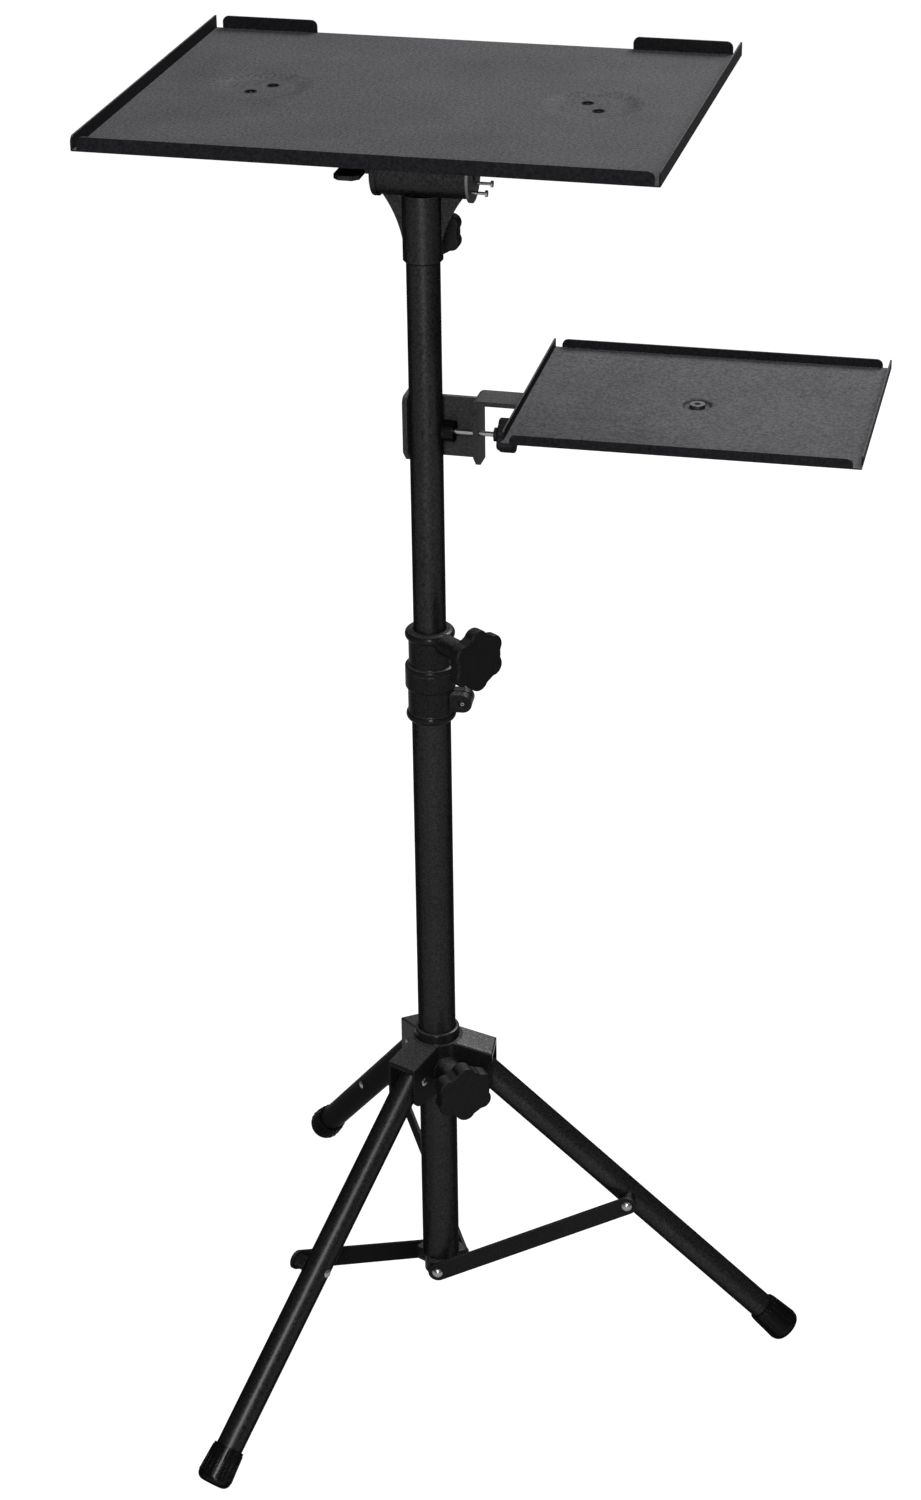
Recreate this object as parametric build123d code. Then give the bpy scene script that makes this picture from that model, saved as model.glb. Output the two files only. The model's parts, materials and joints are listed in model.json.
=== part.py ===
from build123d import *
import math
import os

# Portable projector stand: a telescoping mast on a folding tripod, a tilting tray on its head
# and a smaller tray on a bracket clamped to the mast.
# Millimetres, +Z up, X along the width of the main tray with +X on the side tray's side,
# origin on the floor under the axis of the mast.

# Play between pieces
slide_gap = 0.3  # between a tube and what slides or turns on it
pin_gap = 0.3  # around a pin in the hole that turns on it
fold_gap = 5.0  # between a piece that swings and what it passes

# Mast
lower_tube_od = 35.0
upper_tube_od = 29.0
mast_wall = 1.5
lower_tube_top = 712.0
upper_tube_bottom = 540.0
upper_tube_top = 1133.0

# Clamp collar at the top of the lower tube
collar_grip = 57.0  # on the lower tube
collar_height = 87.5
collar_upper_radius = 19.3
collar_lower_radius = 20.5
collar_bead_radius = 22.3
collar_bead_height = 9.0
collar_bead_round = 4.2
collar_band_rise = 31.0  # from the bottom of the collar
collar_band_height = 23.0
collar_band_radius = 22.7
collar_band_round = 2.4
collar_groove_depth = 0.9
collar_groove_width = 1.6
collar_groove_drop = 4.0  # from the top of the band
collar_azimuth = 325.0
collar_boss_rise = 78.0
collar_boss_radius = 9.5
collar_boss_reach = 44.0
pinch_azimuth = 5.0
pinch_rise = 18.5
pinch_reach = 38.0
pinch_lug_radius = 8.5
pinch_lug_width = 18.0
pinch_slit = 2.0
pinch_screw_radius = 2.5
pinch_head_radius = 3.4
pinch_head_height = 4.0
pinch_head_play = 0.6  # around the head in its counterbore

# Lobed hand knobs
knob_lobes = 6
knob_edge_round = 2.6
knob_core_share = 0.86  # of the knob's radius
knob_lobe_share = 0.34
knob_valley_share = 0.14
collar_knob_radius = 29.0
collar_knob_thickness = 12.0
hub_knob_radius = 28.0
hub_knob_thickness = 16.0
large_knob_neck_radius = 10.0
large_knob_neck = 10.0
head_knob_radius = 23.0
head_knob_thickness = 13.0
head_knob_neck_radius = 7.5
head_knob_neck = 6.0
screw_knob_radius = 15.5
screw_knob_thickness = 15.0
screw_knob_neck_radius = 6.0
screw_knob_neck = 4.0
stud_radius = 4.0
knob_play = 1.0  # between a knob's neck and its boss

# Tripod legs
leg_names = ("right", "back", "left")
first_leg_azimuth = 5.74
leg_tube_od = 25.0
leg_wall = 1.2
leg_pitch = 46.61  # from the vertical, set up
leg_length = 413.6  # pivot to the end of the foot cap
leg_overhang = 6.0  # tube beyond the pivot
leg_pin_radius = 3.0
pin_head_radius = 4.0
pin_head_height = 1.8
hub_pivot_radius = 39.0
foot_end_radius = 16.6
foot_neck_radius = 14.5
foot_length = 36.0
foot_floor = 6.0
foot_round = 7.1

# Hub that slides on the lower tube
hub_wall = 2.5
hub_roof = 4.4
hub_cheek_play = 0.6
hub_body_radius = 23.5
hub_ring_radius = 21.0
hub_ring_height = 10.0  # above the root of the arms
hub_ring_round = 2.0
hub_arm_rise = 18.7  # from the pivot to the top of the arm's end
hub_arm_slope = 16.0
hub_arm_beyond_pivot = 15.2
hub_arm_round = 1.8
hub_cheek_below_pivot = 22.5
hub_cheek_round = 9.0
hub_boss_radius = 13.0
hub_boss_reach = 45.0
hub_boss_above_pivot = 2.0

# Braces from the foot of the mast to the legs
brace_pivot_height = 63.5
brace_on_leg = 198.0  # from the leg's pivot, along the leg
brace_width = 18.0
brace_thickness = 3.0
brace_pin_radius = 3.0
brace_bush_radius = 7.0
rivet_head_radius = 5.4
rivet_head_height = 3.2
foot_lug_half_width = 10.0
foot_spigot_length = 30.0

# Head on the upper tube
sleeve_radius = 17.0
sleeve_grip = 52.5  # on the upper tube
sleeve_chamfer = 1.4
tilt_above_tube = 24.0
trough_outer_radius = 20.5
trough_wall = 2.7
trough_left_reach = 39.6
trough_right_reach = 42.0
trough_rise = 8.0  # of the walls above the tilt axis
trough_rim_radius = 22.0
trough_rim_width = 5.0
trough_rim_round = 1.2
gusset_thickness = 5.0
gusset_rise = 18.5  # from the bottom of the sleeve
gusset_inset = 4.5
gusset_sag = 2.5
head_knob_azimuth = 90.0
head_boss_rise = 10.5
head_boss_radius = 9.0
head_boss_reach = 33.0
end_plate_thickness = 2.5
end_plate_radius = 23.5
end_plate_hole_radius = 5.5
tilt_pin_radius = 1.3
tilt_pin_head_radius = 2.8
tilt_pin_head_height = 1.8
tilt_pin_reach = 14.0
tilt_pin_depth = 2.0
tilt_pin_circle = 15.5
tilt_pin_angles = (-124.0, -44.0)

# Yoke between the head and the main tray
yoke_wall = 3.0
yoke_plate = 4.0
yoke_paddle_length = 22.0
yoke_paddle_half_width = 38.0
yoke_paddle_corner = 5.0
yoke_paddle_gap = 4.4  # to the end of the trough
yoke_end_play = 5.0
yoke_cheek = 4.0
yoke_cheek_inset = 8.0
yoke_cheek_foot_half_width = 6.0
yoke_cheek_flare = 22.0  # above the tilt axis, where the cheeks widen
yoke_cheek_top_half_width = 38.0
yoke_top_length = 120.0
yoke_top_width = 90.0
yoke_top_plate = 3.0

# Main tray
tray_above_tilt = 58.0
tray_width = 467.6
tray_depth = 374.3
tray_sheet = 1.5
tray_lip = 12.3
tray_bend = 1.2
tray_lip_corner = 5.5
tray_front_inset = 5.0  # of the front lip at each end
tray_tab_length = 86.0
tray_tab_inset = 7.5
dish_radius = 43.0
dish_floor_radius = 27.0
dish_depth = 3.0
dish_offset_x = 140.0
dish_offset_y = 18.0
dish_hole_radius = 4.0
dish_hole_spacing = 24.6
dish_hole_turn = 57.5

# Side tray
side_tray_width = 293.5
side_tray_depth = 229.5
side_tray_lip = 9.0
side_tray_front_inset = 7.5
side_tray_back_inset = 7.3
side_tray_setback = 7.0  # of the side lips at the front
side_tray_turn = 1.2  # about its bolt
side_tray_offset = 2.9  # of its middle from the bolt, along its width
side_tray_reach = 233.9
side_dish_radius = 14.5
side_dish_floor_radius = 8.5
side_bolt_radius = 3.0
side_bolt_head_radius = 6.5
side_bolt_head_height = 3.5
side_nut_radius = 5.8
side_nut_height = 5.0
spacer_radius = 8.0
spacer_thickness = 2.5

# Bracket that clamps the side tray's arm to the upper tube
clamp_height = 930.0
bracket_sheet = 4.2
bracket_inner_width = 57.6
bracket_left_front = -8.0
bracket_right_front = -8.0
bracket_back = 22.0
bracket_drop = 30.0  # from the clamp screw to the lower edge
bracket_plate_rise = 24.5
bracket_left_rise = 30.0
bracket_corner = 6.0
bracket_chamfer = 10.0
bracket_bend = 2.0
arm_rise = 34.2
arm_width = 28.0
arm_shoulder = 10.0  # height over which the flange narrows to the arm
arm_bend = 6.0
arm_end_round = 13.0
clamp_screw_radius = 2.2
clamp_pad_radius = 9.0
clamp_pad_length = 10.5
clamp_pad_seat = 5.0
clamp_knob_start = 60.0

# Places worked out from the sizes above
leg_spacing = 360.0 / len(leg_names)
leg_azimuths = [first_leg_azimuth + leg_spacing * i for i in range(len(leg_names))]
hub_knob_azimuth = first_leg_azimuth - leg_spacing / 2
lower_tube_radius = lower_tube_od / 2
upper_tube_radius = upper_tube_od / 2
leg_tube_radius = leg_tube_od / 2
pitch = math.radians(leg_pitch)
foot_end_height = (
    foot_round * (1 - math.cos(pitch))
    + (foot_end_radius - foot_round) * math.sin(pitch)
)
hub_pivot_height = foot_end_height + leg_length * math.cos(pitch)
hub_boss_height = hub_pivot_height + hub_boss_above_pivot
brace_end_radius = hub_pivot_radius + brace_on_leg * math.sin(pitch)
brace_end_height = hub_pivot_height - brace_on_leg * math.cos(pitch)
brace_rise = brace_end_height - brace_pivot_height
brace_length = math.hypot(brace_end_radius, brace_rise)
brace_slope = math.degrees(math.atan2(brace_rise, brace_end_radius))
brace_inner_face = lower_tube_radius + fold_gap
foot_lug_face = brace_inner_face - pin_gap
lower_tube_bottom = brace_pivot_height + foot_lug_half_width
collar_bottom = lower_tube_top - collar_grip
collar_top = collar_bottom + collar_height
collar_band_bottom = collar_bottom + collar_band_rise
collar_band_top = collar_band_bottom + collar_band_height
collar_boss_height = collar_bottom + collar_boss_rise
pinch_height = collar_bottom + pinch_rise
pinch_radius = pinch_reach - pinch_lug_radius
sleeve_bottom = upper_tube_top - sleeve_grip
gusset_foot_height = sleeve_bottom + gusset_rise
head_boss_height = sleeve_bottom + head_boss_rise
tilt_height = upper_tube_top + tilt_above_tube
tray_height = tilt_height + tray_above_tilt  # underside
trough_radius = trough_outer_radius - trough_wall
trough_left = -trough_left_reach
trough_right = trough_right_reach
yoke_right = trough_right - yoke_end_play
yoke_left = trough_left - yoke_paddle_gap - yoke_paddle_length
bracket_bottom = clamp_height - bracket_drop
bracket_left_face = -upper_tube_radius - slide_gap
bracket_right_face = bracket_left_face + bracket_inner_width
arm_top = clamp_height + arm_rise
side_tray_height = arm_top + spacer_thickness + dish_depth  # underside
clamp_pad_end = upper_tube_radius + slide_gap + clamp_pad_length

upright = (Align.CENTER, Align.CENTER, Align.MIN)
on_side = (Align.MIN, Align.CENTER, Align.CENTER)
to_right = (Align.MIN, Align.CENTER, Align.MIN)
hanging = (Align.CENTER, Align.CENTER, Align.MAX)


def post(radius, bottom, top):
    return Pos(0, 0, bottom) * Cylinder(radius, top - bottom, align=upright)


def pipe(od, wall, bottom, top):
    return post(od / 2, bottom, top) - post(od / 2 - wall, bottom, top)


def outward(azimuth, radius, height):
    """Place with +Z pointing away from the mast."""
    return Rot(0, 0, azimuth) * Pos(radius, 0, height) * Rot(0, 90, 0)


def across(start):
    """Place with +Z along -Y, the side of a leg that its brace is on."""
    return Pos(0, -start, 0) * Rot(90, 0, 0)


def upright_plate(thickness, outline):
    """A plate across Y, centred on it, from an outline of (x, z) corners."""
    face = Polygon(*outline, align=None)
    return Rot(90, 0, 0) * extrude(face, thickness / 2, both=True)


def domed_pin(radius, length, head_radius, head_height):
    """A pin along +Z with a domed head past its end."""
    ball = (head_radius**2 + head_height**2) / (2 * head_height)
    dome = Pos(0, 0, length + head_height - ball) * Sphere(ball)
    head = dome & post(head_radius, length, length + head_height)
    return post(radius, 0, length) + head


def lobed_knob(radius, thickness, neck_radius, neck):
    """A hand knob along +Z whose neck starts at 0."""
    lobe = radius * knob_lobe_share
    outline = Circle(radius * knob_core_share)
    outline += PolarLocations(radius - lobe, knob_lobes) * Circle(lobe)
    outline = fillet(outline.vertices(), radius * knob_valley_share)
    head = Pos(0, 0, neck) * extrude(outline, thickness)
    rims = head.edges().filter_by(GeomType.LINE, reverse=True)
    rims = rims.group_by(Axis.Z)[-1] + rims.group_by(Axis.Z)[0]
    head = fillet(rims, knob_edge_round)
    return head + post(neck_radius, 0, neck)


def studded_knob(knob, azimuth, height, boss_reach, tube_radius):
    """A knob on a boss that points away from the mast, with its stud in to the tube."""
    tip = tube_radius + slide_gap
    seat = boss_reach + knob_play
    stud = post(stud_radius, tip, seat)
    return outward(azimuth, 0, height) * (Pos(0, 0, seat) * knob + stud)


def folded_lip(length, height, square_ends):
    """An upright lip along X, outer face on Y = 0; square_ends lists the ends left unrounded."""
    lip = Box(length, tray_sheet, height, align=(Align.CENTER, Align.MIN, Align.MIN))
    corners = lip.edges().filter_by(Axis.Y).group_by(Axis.Z)[-1].sort_by(Axis.X)
    rounded = [corner for end, corner in zip(("low", "high"), corners) if end not in square_ends]
    return fillet(rounded, tray_lip_corner)


def pressed_dish(radius, floor_radius):
    """The metal that a dish adds under the sheet and the hollow that it leaves on top."""
    rim = (radius, 0)
    foot = (floor_radius, -dish_depth)
    flank = Spline(foot, rim, tangents=((1, 0), (1, 0)))
    rest = Polyline(rim, (0, 0), (0, -dish_depth), foot)
    bowl = revolve(Plane.XZ * make_face([flank, rest]), Axis.Z)
    return bowl, Pos(0, 0, tray_sheet) * bowl


def folded_tray(width, depth, lip, front_inset, setback, back_lips):
    """A sheet with lips folded up, underside on Z = 0; back_lips lists centre and length."""
    sheet = Box(width, depth, tray_sheet, align=upright)
    front = folded_lip(width - 2 * front_inset, lip, ())
    left = folded_lip(depth - setback, lip, ("low",))
    right = folded_lip(depth - setback, lip, ("high",))
    tray = sheet + Pos(0, -depth / 2, 0) * front
    tray += Pos(-width / 2, setback / 2, 0) * Rot(0, 0, -90) * left
    tray += Pos(width / 2, setback / 2, 0) * Rot(0, 0, 90) * right
    for centre, length in back_lips:
        tray += Pos(centre, depth / 2, 0) * Rot(0, 0, 180) * folded_lip(length, lip, ())
    bends = tray.edges().filter_by(GeomType.LINE).group_by(Axis.Z)[0]
    return fillet(bends, tray_bend)


def rounded_ring(radius, bottom, top, rounding):
    """A short post with both rims rounded."""
    return fillet(post(radius, bottom, top).edges().filter_by(GeomType.CIRCLE), rounding)


def make_collar():
    """Moulded collar: beaded sleeve with a grooved band, knob boss and split pinch lugs."""
    body = post(collar_upper_radius, collar_band_bottom, collar_top - collar_bead_round)
    body += post(collar_lower_radius, collar_bottom + collar_bead_round, collar_band_top)
    for bottom in (collar_bottom, collar_top - collar_bead_height):
        top = bottom + collar_bead_height
        body += rounded_ring(collar_bead_radius, bottom, top, collar_bead_round)
    band = rounded_ring(
        collar_band_radius, collar_band_bottom, collar_band_top, collar_band_round
    )
    groove_top = collar_band_top - collar_groove_drop
    groove_bottom = groove_top - collar_groove_width
    groove = post(collar_band_radius, groove_bottom, groove_top)
    groove -= post(collar_band_radius - collar_groove_depth, groove_bottom, groove_top)
    body += band - groove
    boss_frame = outward(collar_azimuth, 0, collar_boss_height)
    body += boss_frame * post(collar_boss_radius, 0, collar_boss_reach)
    lug_frame = Rot(0, 0, pinch_azimuth) * Pos(0, 0, pinch_height)
    lug_outline = Pos(pinch_radius, 0) * Circle(pinch_lug_radius)
    lug_outline += Rectangle(
        pinch_radius, 2 * pinch_lug_radius, align=(Align.MIN, Align.CENTER)
    )
    lugs = Rot(90, 0, 0) * extrude(lug_outline, pinch_lug_width / 2, both=True)
    body += lug_frame * lugs
    slit_height = collar_band_top - collar_bottom
    slit = Box(pinch_reach, pinch_slit, slit_height, align=on_side)
    slit_centre = collar_bottom + slit_height / 2 - pinch_height
    body -= lug_frame * Pos(0, 0, slit_centre) * slit
    screw_place = lug_frame * Pos(pinch_radius, 0, 0)
    body -= screw_place * Rot(90, 0, 0) * Cylinder(pinch_screw_radius, pinch_lug_width)
    half = pinch_lug_width / 2
    recess = post(pinch_head_radius + pinch_head_play, half - pinch_head_height, half)
    body -= screw_place * Rot(90, 0, 0) * recess
    body -= boss_frame * post(stud_radius + pin_gap, 0, collar_boss_reach)
    body -= post(lower_tube_radius, collar_bottom, lower_tube_top)
    return body - post(upper_tube_radius + slide_gap, collar_bottom, collar_top)


def make_pinch_screw():
    """Screw through the two pinch lugs, with a sunk round head and a nut of the same size."""
    half = pinch_lug_width / 2
    screw = post(pinch_screw_radius, -half, half)
    screw += post(pinch_head_radius, half - pinch_head_height, half)
    nut = extrude(RegularPolygon(pinch_head_radius, 6), pinch_head_height)
    screw += Pos(0, 0, -half - pinch_head_height) * nut
    place = Pos(pinch_radius, 0, pinch_height) * Rot(90, 0, 0)
    return Rot(0, 0, pinch_azimuth) * place * screw


def make_mast_foot():
    """Plug in the foot of the mast with a round-ended lug for each brace."""
    foot = post(
        lower_tube_radius - mast_wall,
        brace_pivot_height - foot_lug_half_width,
        lower_tube_bottom + foot_spigot_length,
    )
    outline = Circle(foot_lug_half_width)
    outline += Rectangle(
        2 * foot_lug_half_width,
        lower_tube_bottom - brace_pivot_height,
        align=(Align.CENTER, Align.MIN),
    )
    lug = Pos(0, 0, brace_pivot_height) * across(0) * extrude(outline, foot_lug_face)
    for azimuth in leg_azimuths:
        foot += Rot(0, 0, azimuth) * lug
    hole = across(0) * post(brace_pin_radius, 0, foot_lug_face)
    for azimuth in leg_azimuths:
        foot -= Rot(0, 0, azimuth) * Pos(0, 0, brace_pivot_height) * hole
    return foot


def make_foot_rivets():
    """The three rivets that the braces turn on at the foot of the mast."""
    depth = foot_lug_face / 2
    reach = brace_inner_face + brace_thickness + pin_gap - depth
    rivet = domed_pin(brace_pin_radius, reach, rivet_head_radius, rivet_head_height)
    placed = Pos(0, 0, brace_pivot_height) * across(depth) * rivet
    return Compound([Rot(0, 0, azimuth) * placed for azimuth in leg_azimuths])


def make_hub():
    """Sliding hub: a bored body with three sloping inverted channels and a boss for its knob."""
    bottom = hub_pivot_height - hub_cheek_below_pivot
    channel = leg_tube_od + 2 * hub_cheek_play
    reach = hub_pivot_radius + hub_arm_beyond_pivot
    end_top = hub_pivot_height + hub_arm_rise
    slope = math.tan(math.radians(hub_arm_slope))
    root_top = end_top + slope * (reach - hub_ring_radius)
    ring_top = root_top + hub_ring_height
    ring = post(hub_ring_radius, bottom, ring_top)
    ring = fillet(ring.edges().sort_by(Axis.Z)[-1], hub_ring_round)
    hub = ring + post(hub_body_radius, bottom, root_top)
    arm = upright_plate(channel + 2 * hub_wall, (
        (0, bottom), (reach, bottom), (reach, end_top), (hub_ring_radius, root_top), (0, root_top),
    ))
    lower_corner = arm.edges().filter_by(Axis.Y).group_by(Axis.X)[-1].sort_by(Axis.Z)[0]
    arm = fillet(lower_corner, hub_cheek_round)
    roof_middle = ((reach + hub_ring_radius) / 2, 0, (end_top + root_top) / 2)
    roof = arm.faces().sort_by_distance(roof_middle)[0]
    arm = fillet(roof.edges().sort_by(Axis.X)[1:], hub_arm_round)
    slot = upright_plate(channel, (
        (hub_ring_radius, bottom), (reach, bottom),
        (reach, end_top - hub_roof), (hub_ring_radius, root_top - hub_roof),
    ))
    pin_hole = Rot(90, 0, 0) * Cylinder(leg_pin_radius, reach)
    pin_hole = Pos(hub_pivot_radius, 0, hub_pivot_height) * pin_hole
    for azimuth in leg_azimuths:
        hub += Rot(0, 0, azimuth) * arm
    boss_frame = outward(hub_knob_azimuth, 0, hub_boss_height)
    hub += boss_frame * post(hub_boss_radius, 0, hub_boss_reach)
    for azimuth in leg_azimuths:
        hub -= Rot(0, 0, azimuth) * (slot + pin_hole)
    hub -= boss_frame * post(stud_radius + pin_gap, 0, hub_boss_reach)
    return hub - post(lower_tube_radius + slide_gap, bottom, ring_top)


def make_hub_rivets():
    """The three pins that the legs turn on."""
    half = leg_tube_radius + hub_cheek_play + hub_wall
    pin = domed_pin(leg_pin_radius, half, pin_head_radius, pin_head_height)
    pin += Rot(180, 0, 0) * pin
    placed = Pos(hub_pivot_radius, 0, hub_pivot_height) * across(0) * pin
    return Compound([Rot(0, 0, azimuth) * placed for azimuth in leg_azimuths])


def make_leg_tube():
    """Leg tube in its own frame, pivot at the origin and foot down -Z."""
    tube = pipe(leg_tube_od, leg_wall, foot_floor - leg_length, leg_overhang)
    tube -= Rot(90, 0, 0) * Cylinder(leg_pin_radius + pin_gap, leg_tube_od)
    bush_hole = Rot(90, 0, 0) * Cylinder(leg_pin_radius, leg_tube_od)
    return tube - Pos(0, 0, -brace_on_leg) * bush_hole


def make_foot_cap():
    """Rubber cap on the end of a leg, flared to a rounded foot."""
    cap = Cone(foot_end_radius, foot_neck_radius, foot_length, align=upright)
    cap = fillet(cap.edges().sort_by(Axis.Z)[0], foot_round)
    cap -= post(leg_tube_radius, foot_floor, foot_length)
    return Pos(0, 0, -leg_length) * cap


def make_leg_bush():
    """Pin through a leg with the bush that its brace bears on and a head on the far side."""
    far_face = brace_inner_face - pin_gap
    outside = post(brace_bush_radius, 0, far_face)
    head_pin = domed_pin(leg_pin_radius, leg_tube_radius, pin_head_radius, pin_head_height)
    pin = outside - post(leg_pin_radius, 0, far_face)
    tube = Rot(90, 0, 0) * Cylinder(leg_tube_radius, leg_length)
    pin = (pin - tube) + post(leg_pin_radius, 0, far_face) + Rot(180, 0, 0) * head_pin
    return Pos(0, 0, -brace_on_leg) * across(0) * pin


def make_brace_bar():
    """Flat bar with round ends, from the foot of the mast along +X."""
    outline = Pos(brace_length / 2, 0) * SlotCenterToCenter(brace_length, brace_width)
    bar = extrude(outline, brace_thickness)
    bar -= post(brace_pin_radius + pin_gap, 0, brace_thickness)
    bar -= Pos(brace_length, 0, 0) * post(brace_pin_radius, 0, brace_thickness)
    return across(brace_inner_face) * bar


def make_brace_rivet():
    """Rivet at the leg end of a brace."""
    rivet = domed_pin(brace_pin_radius, brace_thickness, rivet_head_radius, rivet_head_height)
    return across(brace_inner_face) * Pos(brace_length, 0, 0) * rivet


def trough_section(radius):
    """Half-round section with straight upper walls, its round centred on the tilt axis."""
    walls = Rectangle(2 * radius, trough_rise, align=(Align.CENTER, Align.MIN))
    lower = Rectangle(2 * radius, radius, align=(Align.CENTER, Align.MAX))
    return (Circle(radius) & lower) + walls


def along_trough(section, start, end):
    frame = Pos(start, 0, tilt_height) * Rot(0, 0, 90) * Rot(90, 0, 0)
    return frame * extrude(section, end - start)


def make_saddle():
    """Head casting: sleeve on the upper tube, gussets and a round-bottomed trough along X."""
    head = along_trough(trough_section(trough_outer_radius), trough_left, trough_right)
    rim = along_trough(
        trough_section(trough_rim_radius), trough_left, trough_left + trough_rim_width
    )
    head += fillet(rim.edges().group_by(Axis.X)[0], trough_rim_round)
    wing_top = tilt_height - trough_radius
    sleeve = post(sleeve_radius, sleeve_bottom, wing_top)
    sleeve = chamfer(sleeve.edges().sort_by(Axis.Z)[0], sleeve_chamfer)
    head += sleeve
    for end in (trough_left + gusset_inset, trough_right - gusset_inset):
        side = math.copysign(sleeve_radius, end)
        foot = (side, gusset_foot_height)
        tip = (end, wing_top)
        edge = SagittaArc(foot, tip, math.copysign(gusset_sag, end))
        rest = Polyline(tip, (0, wing_top), (0, gusset_foot_height), foot)
        outline = make_face([edge, rest])
        head += Rot(90, 0, 0) * extrude(outline, gusset_thickness / 2, both=True)
    boss_frame = outward(head_knob_azimuth, 0, head_boss_height)
    head += boss_frame * post(head_boss_radius, 0, head_boss_reach)
    head -= boss_frame * post(stud_radius + pin_gap, 0, head_boss_reach)
    head -= along_trough(trough_section(trough_radius), trough_left, trough_right)
    return head - post(upper_tube_radius + slide_gap, sleeve_bottom, upper_tube_top + slide_gap)


def tilt_pin_places():
    for angle in tilt_pin_angles:
        turn = math.radians(angle)
        y = tilt_pin_circle * math.cos(turn)
        z = tilt_height + tilt_pin_circle * math.sin(turn)
        yield Pos(trough_right, y, z) * Rot(0, 90, 0)


def make_end_plate():
    """Round plate on the right end of the trough, bored on the tilt axis and for the tilt pins."""
    disc = post(end_plate_radius, 0, end_plate_thickness)
    disc -= post(end_plate_hole_radius, 0, end_plate_thickness)
    plate = Pos(trough_right, 0, tilt_height) * Rot(0, 90, 0) * disc
    for place in tilt_pin_places():
        plate -= place * post(tilt_pin_radius, 0, end_plate_thickness)
    return plate


def make_tilt_pins():
    """Two headed pins, drawn out of the yoke so that the tray can tilt."""
    pin = post(tilt_pin_radius, -tilt_pin_depth, tilt_pin_reach)
    pin += post(tilt_pin_head_radius, tilt_pin_reach, tilt_pin_reach + tilt_pin_head_height)
    return Compound([place * pin for place in tilt_pin_places()])


def make_yoke():
    """Tilting yoke: a D-shaped tube that turns in the trough, two cheeks and a top plate."""
    drum_radius = trough_radius - slide_gap
    left = trough_left
    along_x = Pos(left, 0, tilt_height) * Rot(0, 90, 0)
    length = yoke_right - left
    half = Pos(0, 0, tilt_height) * Box(2 * length, length, length, align=hanging)
    yoke = (along_x * pipe(2 * drum_radius, yoke_wall, 0, length)) & half
    plate_width = 2 * drum_radius - yoke_wall
    plate = Box(yoke_right - yoke_left, plate_width, yoke_plate, align=to_right)
    paddle = Box(yoke_paddle_length, 2 * yoke_paddle_half_width, yoke_plate, align=to_right)
    paddle = chamfer(paddle.edges().filter_by(Axis.Z), yoke_paddle_corner)
    yoke += Pos(yoke_left, 0, tilt_height) * (plate + paddle)
    foot_z = tilt_height + yoke_plate
    top_z = tray_height - yoke_top_plate
    flare_z = tilt_height + yoke_cheek_flare
    cheek = Polygon(
        (-yoke_cheek_foot_half_width, foot_z), (yoke_cheek_foot_half_width, foot_z),
        (yoke_cheek_foot_half_width, flare_z), (yoke_cheek_top_half_width, top_z),
        (-yoke_cheek_top_half_width, top_z), (-yoke_cheek_foot_half_width, flare_z),
        align=None,
    )
    cheek = Rot(0, 0, 90) * Rot(90, 0, 0) * extrude(cheek, yoke_cheek)
    yoke += Pos(left + yoke_cheek_inset, 0, 0) * cheek
    yoke += Pos(yoke_right - yoke_cheek_inset - yoke_cheek, 0, 0) * cheek
    middle = (left + yoke_right) / 2
    top = Box(yoke_top_length, yoke_top_width, yoke_top_plate, align=upright)
    return yoke + Pos(middle, 0, top_z) * top


def make_main_tray():
    """Main tray: front and side lips, two tabs at the back and two dished mounting points."""
    tab_centre = tray_width / 2 - tray_tab_inset - tray_tab_length / 2
    tabs = ((-tab_centre, tray_tab_length), (tab_centre, tray_tab_length))
    tray = folded_tray(tray_width, tray_depth, tray_lip, tray_front_inset, 0, tabs)
    added, hollow = pressed_dish(dish_radius, dish_floor_radius)
    for side in (-1, 1):
        place = Pos(side * dish_offset_x, dish_offset_y, 0)
        tray = tray + place * added - place * hollow
        turn = Rot(0, 0, -side * dish_hole_turn)
        for end in (-1, 1):
            hole = post(dish_hole_radius, -dish_depth, tray_sheet)
            tray -= place * turn * Pos(end * dish_hole_spacing / 2, 0, 0) * hole
    return Pos(0, 0, tray_height) * tray


def make_side_tray():
    """Side tray: lips on all four sides and one dished hole for its bolt."""
    back = ((0, side_tray_width - 2 * side_tray_back_inset),)
    tray = folded_tray(
        side_tray_width, side_tray_depth, side_tray_lip,
        side_tray_front_inset, side_tray_setback, back,
    )
    added, hollow = pressed_dish(side_dish_radius, side_dish_floor_radius)
    tray = Pos(side_tray_offset, 0, 0) * tray
    tray = tray + added - hollow - post(side_bolt_radius, -dish_depth, tray_sheet)
    return Pos(side_tray_reach, 0, side_tray_height) * Rot(0, 0, side_tray_turn) * tray


def make_side_bolt():
    """Bolt that holds the side tray to its arm."""
    floor = side_tray_height - dish_depth + tray_sheet
    nut_top = arm_top - bracket_sheet - pin_gap
    bolt = post(side_bolt_radius, nut_top - side_nut_height, floor)
    bolt += post(side_bolt_head_radius, floor, floor + side_bolt_head_height)
    nut = extrude(RegularPolygon(side_nut_radius, 6), side_nut_height)
    bolt += Pos(0, 0, nut_top - side_nut_height) * nut
    return Pos(side_tray_reach, 0, 0) * bolt


def make_spacer():
    """Washer between the arm and the dish of the side tray."""
    top = side_tray_height - dish_depth
    bottom = arm_top + pin_gap
    washer = post(spacer_radius, bottom, top) - post(side_bolt_radius, bottom, top)
    return Pos(side_tray_reach, 0, 0) * washer


def bracket_flange(outline):
    """Upright sheet across X from an outline of (y, z) corners."""
    return Rot(0, 0, 90) * Rot(90, 0, 0) * extrude(Polygon(*outline, align=None), bracket_sheet)


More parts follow.
